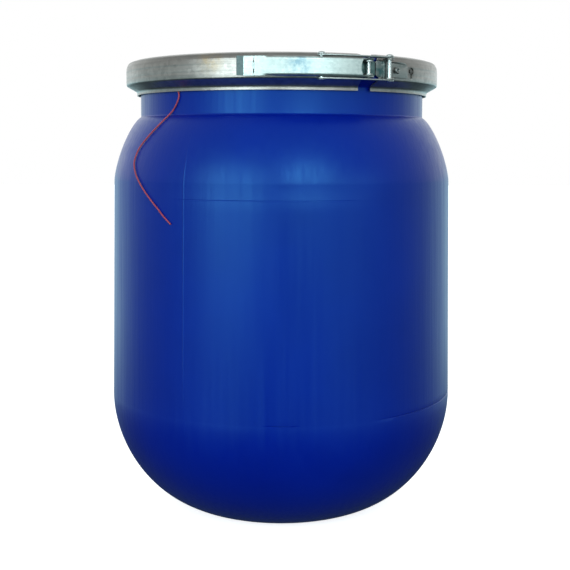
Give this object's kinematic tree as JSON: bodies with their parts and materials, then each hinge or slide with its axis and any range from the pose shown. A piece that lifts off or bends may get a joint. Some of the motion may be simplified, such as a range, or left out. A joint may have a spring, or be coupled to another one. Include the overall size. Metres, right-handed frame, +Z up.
{
  "type": "open head drum",
  "caption": "Open head plastic drum with a bowl-shaped base, domed shoulder and short neck, its lid held by a steel lever closure band.",
  "frame": {"origin": "middle of the base, on the surface the drum stands on", "axes": "+Z up the drum's axis; -Y is the side with the lever, +X is to its right"},
  "size_m": [0.334, 0.334, 0.4339],
  "materials": {
    "drum_plastic": "satin blow-moulded blue plastic with a faint vertical parting line",
    "lid_plastic": "satin moulded blue plastic",
    "gasket_rubber": "matt black sponge rubber",
    "band_steel": "galvanised sheet steel, lightly mottled",
    "lever_steel": "bright zinc-plated sheet steel",
    "rivet_steel": "bright zinc-plated steel",
    "cord_red": "thin twisted red cord"
  },
  "bodies": {
    "drum": {"drum_body": "drum_plastic", "seal_cord": "cord_red"},
    "lid": {"lid": "lid_plastic", "lid_gasket": "gasket_rubber"},
    "band_left": {"clamp_band_left": "band_steel", "lever_bracket": "band_steel", "lever_bracket_rivet_1": "rivet_steel", "lever_bracket_rivet_2": "rivet_steel", "lever_pivot_rivet": "rivet_steel"},
    "band_right": {"clamp_band_right": "band_steel", "catch_bracket": "band_steel", "catch_bracket_rivet": "rivet_steel", "link_catch_rivet": "rivet_steel"},
    "lever": {"lever": "lever_steel", "link_lever_rivet": "rivet_steel"},
    "link": {"link_upper_strap": "lever_steel", "link_lower_strap": "lever_steel"}
  },
  "joints": [
    {"name": "ring_lift", "type": "slide", "parent": "drum", "child": "band_left", "axis": [0, 0, 1], "range_m": [0, 0.25], "deforming": ["clamp_band_left"]},
    {"name": "lid_lift", "type": "slide", "parent": "drum", "child": "lid", "axis": [0, 0, 1], "range_m": [0, 0.125]},
    {"name": "band_flex", "type": "hinge", "parent": "band_left", "child": "band_right", "pos_m": [-0.07706, 0.13056, 0.4203], "axis": [0, 0, 1], "range_deg": [0, 7.3], "deforming": ["clamp_band_right"]},
    {"name": "lever_swing", "type": "hinge", "parent": "band_left", "child": "lever", "pos_m": [0.07415, -0.13771, 0.4203], "axis": [0, 0, 1], "range_deg": [0, 120]},
    {"name": "link_swing", "type": "hinge", "parent": "lever", "child": "link", "pos_m": [0.03332, -0.15281, 0.4203], "axis": [0, 0, 1], "range_deg": [-69.21, 0]}
  ],
  "couplings": [
    {"joint": "band_flex", "follows": "lever_swing", "ratio": 0.060823},
    {"joint": "link_swing", "follows": "lever_swing", "ratio": -0.57669},
    {"joint": "lid_lift", "follows": "ring_lift", "ratio": 0.5}
  ]
}
